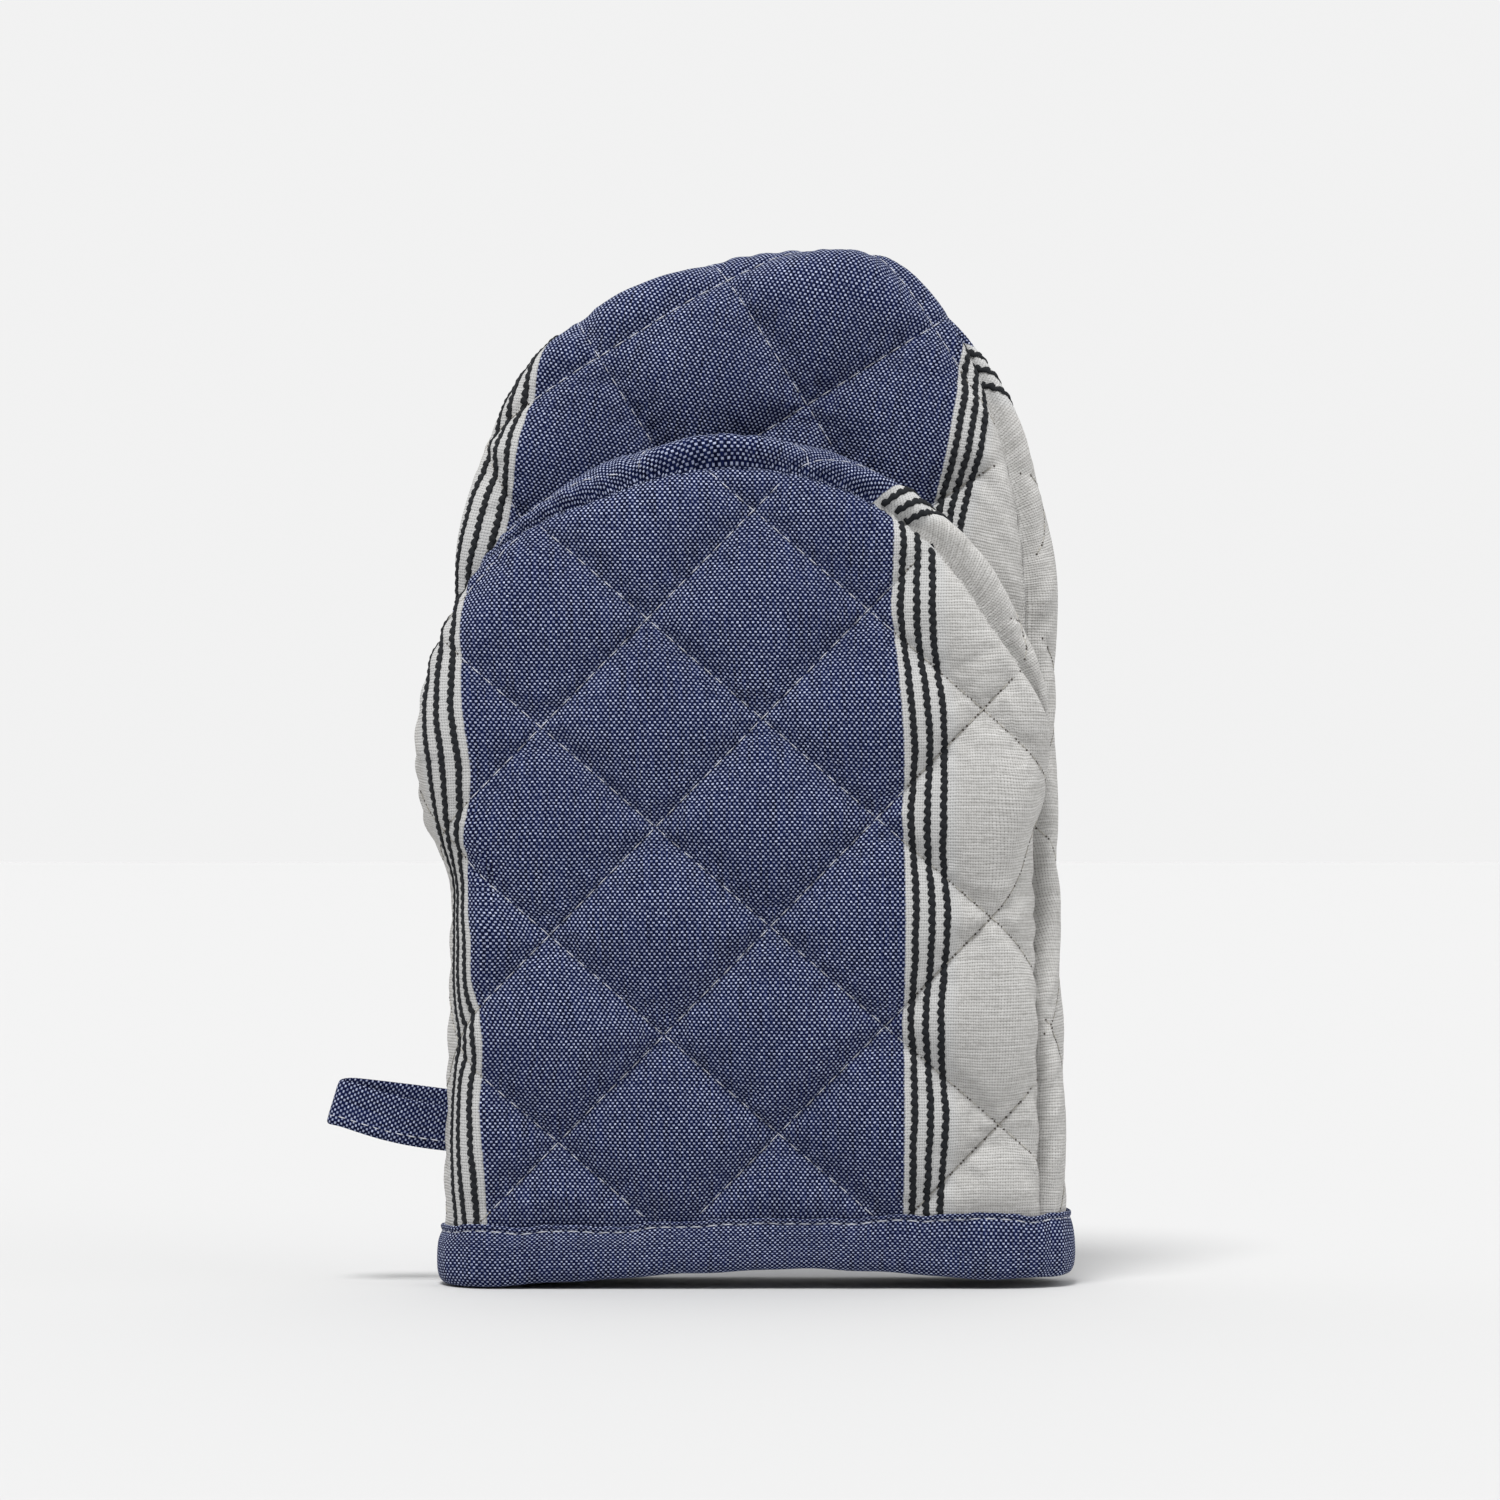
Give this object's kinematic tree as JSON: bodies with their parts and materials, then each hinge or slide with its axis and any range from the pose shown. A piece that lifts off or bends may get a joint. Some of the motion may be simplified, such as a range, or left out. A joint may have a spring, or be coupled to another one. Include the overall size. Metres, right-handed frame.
{
  "type": "oven mitt",
  "caption": "Quilted fabric oven mitt with a tall finger pocket, a shorter front thumb pocket, a bound cuff and a side hanging loop.",
  "frame": {"origin": "centre of the cuff's lower edge, where the mitt stands", "axes": "+Z from the cuff to the fingertips, -Y to the thumb pocket's side, +X away from the hanging loop"},
  "size_m": [0.198, 0.058, 0.278],
  "materials": {
    "chambray": "plain-weave cotton, blue with cream and black striped edges, diamond quilted",
    "batting": "soft polyester wadding",
    "lining": "plain-weave cream cotton",
    "binding": "plain-weave blue cotton strip, folded",
    "strap": "plain-weave blue cotton strap, folded and stitched"
  },
  "bodies": {
    "mitt": {"back_cover": "chambray", "back_batting": "batting", "back_lining": "lining", "finger_palm_cover": "chambray", "finger_palm_batting": "batting", "finger_palm_lining": "lining", "cuff_front_cover": "chambray", "cuff_front_batting": "batting", "cuff_front_lining": "lining", "cuff_binding": "binding", "loop_anchor": "strap"},
    "thumb": {"thumb_palm_cover": "chambray", "thumb_palm_batting": "batting", "thumb_palm_lining": "lining", "thumb_front_cover": "chambray", "thumb_front_batting": "batting", "thumb_front_lining": "lining"},
    "loop": {"hanging_loop": "strap"}
  },
  "joints": [
    {"name": "thumb_open", "type": "hinge", "parent": "mitt", "child": "thumb", "pos_m": [0, -0.0284, 0.1122], "axis": [1, 0, 0], "range_deg": [0, 45], "stiffness_Nm_per_rad": 0.15},
    {"name": "loop_swing", "type": "hinge", "parent": "mitt", "child": "loop", "pos_m": [-0.087, 0, 0.0445], "axis": [0, 0, 1], "range_deg": [-60, 60], "stiffness_Nm_per_rad": 0.002}
  ]
}
